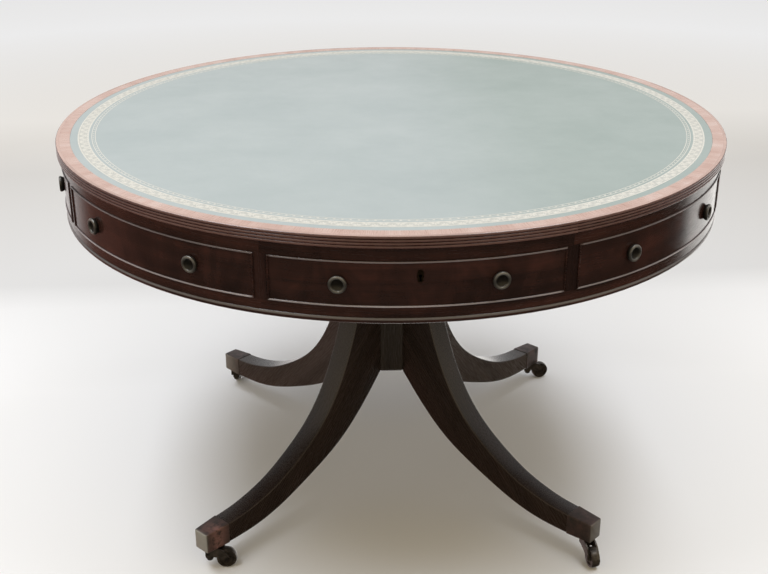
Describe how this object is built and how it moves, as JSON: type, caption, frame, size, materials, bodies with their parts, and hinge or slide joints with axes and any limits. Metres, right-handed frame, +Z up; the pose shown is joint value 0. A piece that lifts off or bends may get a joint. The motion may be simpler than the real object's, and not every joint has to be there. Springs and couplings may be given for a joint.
{
  "type": "drum table",
  "caption": "Round revolving drum table in mahogany with a leather top, drawers and dummy fronts round its frieze, and a column with sabre legs on castors.",
  "frame": {"origin": "on the floor under the middle of the table", "axes": "+Z up along the column, -Y towards the drawer that faces the front, +X to its right"},
  "size_m": [1.22, 1.22, 0.75],
  "materials": {
    "mahogany": "dark French-polished mahogany, glossy",
    "crossband": "faded, polished mahogany crossbanding",
    "secondary_timber": "plain waxed oak and pine, unpolished",
    "leather": "smooth pale grey-green leather with gilt tooling",
    "bronze": "dark patinated turned brass",
    "brass": "aged cast brass, dull",
    "iron": "plain dark iron"
  },
  "bodies": {
    "base": {"pedestal_column": "mahogany", "bearing_platform": "mahogany", "pivot_spindle": "iron", "retaining_nut": "iron", "castor_pivots": "brass", "leg_front_left": "mahogany", "leg_front_right": "mahogany", "leg_back_right": "mahogany", "leg_back_left": "mahogany", "toe_cap_front_left": "brass", "toe_cap_front_right": "brass", "toe_cap_back_right": "brass", "toe_cap_back_left": "brass"},
    "drum": {"top_board": "secondary_timber", "leather_inset": "leather", "crossband_border": "crossband", "reeded_edge": "mahogany", "upper_rail_ring": "mahogany", "base_board": "secondary_timber", "lower_astragal": "mahogany", "drawer_partitions": "mahogany", "centre_block": "secondary_timber", "dummy_knobs": "bronze", "dummy_front_front_left": "mahogany", "dummy_front_front_right": "mahogany", "dummy_front_back_right": "mahogany", "dummy_front_back_left": "mahogany"},
    "drawer_front": {"drawer_front_panel": "mahogany", "drawer_front_box": "secondary_timber", "drawer_front_cockbeads": "mahogany", "drawer_front_knobs": "bronze", "drawer_front_lock": "brass"},
    "drawer_right": {"drawer_right_panel": "mahogany", "drawer_right_box": "secondary_timber", "drawer_right_cockbeads": "mahogany", "drawer_right_knobs": "bronze", "drawer_right_lock": "brass"},
    "drawer_back": {"drawer_back_panel": "mahogany", "drawer_back_box": "secondary_timber", "drawer_back_cockbeads": "mahogany", "drawer_back_knobs": "bronze", "drawer_back_lock": "brass"},
    "drawer_left": {"drawer_left_panel": "mahogany", "drawer_left_box": "secondary_timber", "drawer_left_cockbeads": "mahogany", "drawer_left_knobs": "bronze", "drawer_left_lock": "brass"},
    "castor_front_left": {"castor_fork_front_left": "brass", "castor_axle_front_left": "brass"},
    "wheel_front_left": {"castor_wheel_front_left": "brass"},
    "castor_front_right": {"castor_fork_front_right": "brass", "castor_axle_front_right": "brass"},
    "wheel_front_right": {"castor_wheel_front_right": "brass"},
    "castor_back_right": {"castor_fork_back_right": "brass", "castor_axle_back_right": "brass"},
    "wheel_back_right": {"castor_wheel_back_right": "brass"},
    "castor_back_left": {"castor_fork_back_left": "brass", "castor_axle_back_left": "brass"},
    "wheel_back_left": {"castor_wheel_back_left": "brass"}
  },
  "joints": [
    {"name": "drum_turn", "type": "hinge", "parent": "base", "child": "drum", "pos_m": [0, 0, 0.617], "axis": [0, 0, 1], "continuous": true},
    {"name": "drawer_front_slide", "type": "slide", "parent": "drum", "child": "drawer_front", "axis": [0, -1, 0], "range_m": [0, 0.28]},
    {"name": "drawer_right_slide", "type": "slide", "parent": "drum", "child": "drawer_right", "axis": [1, 0, 0], "range_m": [0, 0.28]},
    {"name": "drawer_back_slide", "type": "slide", "parent": "drum", "child": "drawer_back", "axis": [0, 1, 0], "range_m": [0, 0.28]},
    {"name": "drawer_left_slide", "type": "slide", "parent": "drum", "child": "drawer_left", "axis": [-1, 0, 0], "range_m": [0, 0.28]},
    {"name": "castor_front_left_swivel", "type": "hinge", "parent": "base", "child": "castor_front_left", "pos_m": [-0.35655, -0.34192, 0.03], "axis": [0, 0, 1], "continuous": true},
    {"name": "wheel_front_left_roll", "type": "hinge", "parent": "castor_front_left", "child": "wheel_front_left", "pos_m": [-0.32557, -0.34084, 0.019], "axis": [-0.0349, 0.9994, 0], "continuous": true},
    {"name": "castor_front_right_swivel", "type": "hinge", "parent": "base", "child": "castor_front_right", "pos_m": [0.34192, -0.35655, 0.03], "axis": [0, 0, 1], "continuous": true},
    {"name": "wheel_front_right_roll", "type": "hinge", "parent": "castor_front_right", "child": "wheel_front_right", "pos_m": [0.3473, -0.38708, 0.019], "axis": [0.9848, 0.1736, 0], "continuous": true},
    {"name": "castor_back_right_swivel", "type": "hinge", "parent": "base", "child": "castor_back_right", "pos_m": [0.35655, 0.34192, 0.03], "axis": [0, 0, 1], "continuous": true},
    {"name": "wheel_back_right_roll", "type": "hinge", "parent": "castor_back_right", "child": "wheel_back_right", "pos_m": [0.38663, 0.34942, 0.019], "axis": [-0.2419, 0.9703, 0], "continuous": true},
    {"name": "castor_back_left_swivel", "type": "hinge", "parent": "base", "child": "castor_back_left", "pos_m": [-0.34192, 0.35655, 0.03], "axis": [0, 0, 1], "continuous": true},
    {"name": "wheel_back_left_roll", "type": "hinge", "parent": "castor_back_left", "child": "wheel_back_left", "pos_m": [-0.33868, 0.38738, 0.019], "axis": [-0.9945, 0.1045, 0], "continuous": true}
  ]
}
